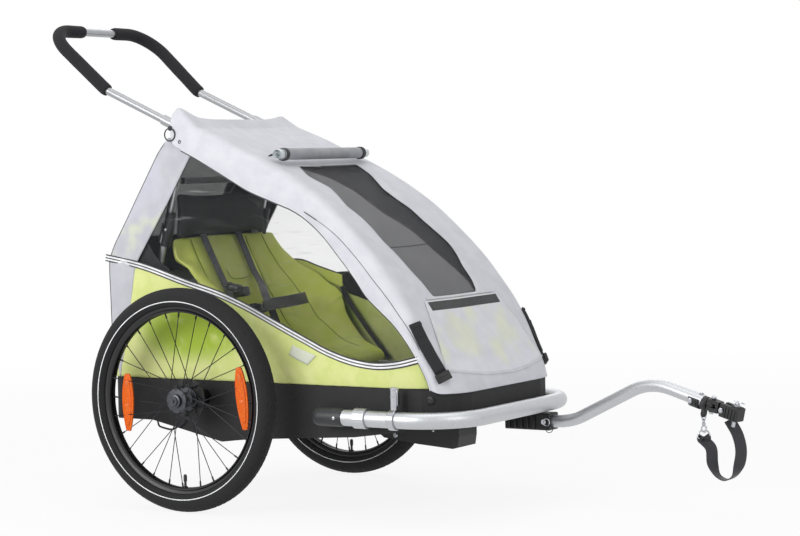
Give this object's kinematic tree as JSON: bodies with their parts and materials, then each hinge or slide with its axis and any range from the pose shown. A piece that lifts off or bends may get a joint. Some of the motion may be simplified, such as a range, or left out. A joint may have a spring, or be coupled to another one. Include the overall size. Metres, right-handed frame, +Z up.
{
  "type": "child bike trailer",
  "caption": "Single-seat child bicycle trailer with a tub floor, fabric canopy, side wheels, push bar, wrap-around bumper tube and a curved tow arm with a swivel hitch.",
  "frame": {"origin": "bottom centre of the bounding box, on the ground", "axes": "+X forward to the tow hitch, +Y to the left side, +Z up; the wheel axle is parallel to Y at x = -0.334 m, z = 0.25 m"},
  "size_m": [1.6764, 0.753, 1.1108],
  "materials": {
    "black_plastic": "satin",
    "aluminium": "satin anodised",
    "dark_steel": "satin black",
    "bright_steel": "zinc bright",
    "rubber": "matte",
    "foam": "closed-cell foam",
    "black_rim": "black anodised",
    "grey_fabric": "coated woven",
    "lime_fabric": "coated woven",
    "black_fabric": "woven webbing and padded cloth",
    "mesh_fabric": "open mesh",
    "clear_film": "clear soft film"
  },
  "bodies": {
    "trailer": {"floor_tub": "black_plastic", "axle_beam": "aluminium", "rear_cross_tube": "aluminium", "wheel_bracket": "black_plastic", "axle_receiver_right": "dark_steel", "axle_receiver_left": "dark_steel", "axle_pin_right": "bright_steel", "axle_pin_left": "bright_steel", "bumper_end_cap_right": "black_plastic", "bumper_end_cap_left": "black_plastic", "bumper_clamp_right": "black_plastic", "bumper_clamp_left": "black_plastic", "bumper_tube": "aluminium", "flag_holder": "black_plastic", "seat_base": "lime_fabric", "seat_back": "black_fabric", "headrest": "black_fabric", "shoulder_strap_right": "black_fabric", "shoulder_strap_left": "black_fabric", "lap_belt": "black_fabric", "buckle": "black_plastic", "brake_cable": "dark_steel", "arm_receiver": "black_plastic", "tow_arm": "aluminium", "hitch_clamp": "black_plastic", "snap_hook": "bright_steel", "d_ring": "bright_steel", "safety_strap": "black_fabric", "canopy_cover": "grey_fabric", "side_window_right": "clear_film", "side_window_left": "clear_film", "front_mesh": "mesh_fabric", "cover_roll": "grey_fabric"},
    "wheel_right": {"tyre_right": "rubber", "rim_right": "black_rim", "hub_and_spokes_right": "bright_steel", "brake_ring_right": "bright_steel"},
    "wheel_left": {"tyre_left": "rubber", "rim_left": "black_rim", "hub_and_spokes_left": "bright_steel", "brake_ring_left": "bright_steel"},
    "button_right": {"axle_button_right": "dark_steel"},
    "button_left": {"axle_button_left": "dark_steel"},
    "roof": {"roof_hoop": "aluminium"},
    "uprights": {"rear_uprights": "aluminium"},
    "handle": {"push_bar": "aluminium", "handle_socket_right": "black_plastic", "handle_socket_left": "black_plastic", "grip_right": "foam", "grip_left": "foam"},
    "corner_pin_right": {"lock_pin_right": "dark_steel"},
    "corner_pin_left": {"lock_pin_left": "dark_steel"},
    "pedal": {"brake_pedal": "black_plastic"},
    "brake_bolt_right": {"brake_pin_right": "bright_steel"},
    "brake_bolt_left": {"brake_pin_left": "bright_steel"},
    "receiver_lock": {"receiver_pin": "bright_steel"},
    "hitch_swivel": {"hitch_knuckle": "dark_steel"},
    "hitch_end": {"hitch_block": "dark_steel"},
    "coupling_pin": {"hitch_pin": "bright_steel"},
    "buckle_press": {"buckle_button": "black_plastic"}
  },
  "joints": [
    {"name": "wheel_right_spin", "type": "hinge", "parent": "trailer", "child": "wheel_right", "pos_m": [-0.3341, -0.34, 0.25], "axis": [0, 1, 0], "continuous": true},
    {"name": "wheel_left_spin", "type": "hinge", "parent": "trailer", "child": "wheel_left", "pos_m": [-0.3341, 0.34, 0.25], "axis": [0, 1, 0], "continuous": true},
    {"name": "axle_button_right_press", "type": "slide", "parent": "trailer", "child": "button_right", "axis": [0, 1, 0], "range_m": [0, 0.003], "stiffness_N_per_m": 600, "springref_m": -0.002},
    {"name": "axle_button_left_press", "type": "slide", "parent": "trailer", "child": "button_left", "axis": [0, -1, 0], "range_m": [0, 0.003], "stiffness_N_per_m": 600, "springref_m": -0.002},
    {"name": "roof_fold", "type": "hinge", "parent": "trailer", "child": "roof", "pos_m": [0.2509, 0, 0.262], "axis": [0, -1, 0], "range_deg": [0, 33], "deforming": ["canopy_cover", "side_window_right", "side_window_left", "front_mesh", "cover_roll"]},
    {"name": "uprights_fold", "type": "hinge", "parent": "trailer", "child": "uprights", "pos_m": [-0.5691, 0, 0.262], "axis": [0, 1, 0], "range_deg": [0, 70]},
    {"name": "handle_swing", "type": "hinge", "parent": "roof", "child": "handle", "pos_m": [-0.4416, 0, 0.8555], "axis": [0, 1, 0], "range_deg": [-20, 60]},
    {"name": "corner_pin_right_pull", "type": "slide", "parent": "roof", "child": "corner_pin_right", "axis": [0, -1, 0], "range_m": [0, 0.012], "stiffness_N_per_m": 150, "springref_m": -0.006},
    {"name": "corner_pin_left_pull", "type": "slide", "parent": "roof", "child": "corner_pin_left", "axis": [0, 1, 0], "range_m": [0, 0.012], "stiffness_N_per_m": 150, "springref_m": -0.006},
    {"name": "brake_pedal_press", "type": "hinge", "parent": "trailer", "child": "pedal", "pos_m": [-0.6101, 0, 0.224], "axis": [0, -1, 0], "range_deg": [0, 20]},
    {"name": "brake_bolt_right_slide", "type": "slide", "parent": "trailer", "child": "brake_bolt_right", "axis": [0, -1, 0], "range_m": [0, 0.01]},
    {"name": "brake_bolt_left_slide", "type": "slide", "parent": "trailer", "child": "brake_bolt_left", "axis": [0, 1, 0], "range_m": [0, 0.01]},
    {"name": "receiver_pin_pull", "type": "slide", "parent": "trailer", "child": "receiver_lock", "axis": [0, -1, 0], "range_m": [0, 0.05]},
    {"name": "hitch_yaw", "type": "hinge", "parent": "trailer", "child": "hitch_swivel", "pos_m": [0.76146, 0.07574, 0.24097], "axis": [0.236, -0.0532, 0.9703], "range_deg": [-60, 60]},
    {"name": "hitch_pitch", "type": "hinge", "parent": "hitch_swivel", "child": "hitch_end", "pos_m": [0.79364, 0.06849, 0.23274], "axis": [0.2198, 0.9755, 0], "range_deg": [-30, 30], "deforming": ["safety_strap"]},
    {"name": "coupling_pin_pull", "type": "slide", "parent": "hitch_end", "child": "coupling_pin", "axis": [0.236, -0.0532, 0.9703], "range_m": [0, 0.03]},
    {"name": "buckle_press", "type": "slide", "parent": "trailer", "child": "buckle_press", "axis": [0.0902, 0, -0.9959], "range_m": [0, 0.003], "stiffness_N_per_m": 600, "springref_m": -0.002}
  ],
  "couplings": [
    {"joint": "uprights_fold", "follows": "roof_fold", "ratio": 2.12},
    {"joint": "brake_bolt_right_slide", "follows": "brake_pedal_press", "m_per_rad": 0.028591},
    {"joint": "brake_bolt_left_slide", "follows": "brake_pedal_press", "m_per_rad": 0.028591}
  ]
}
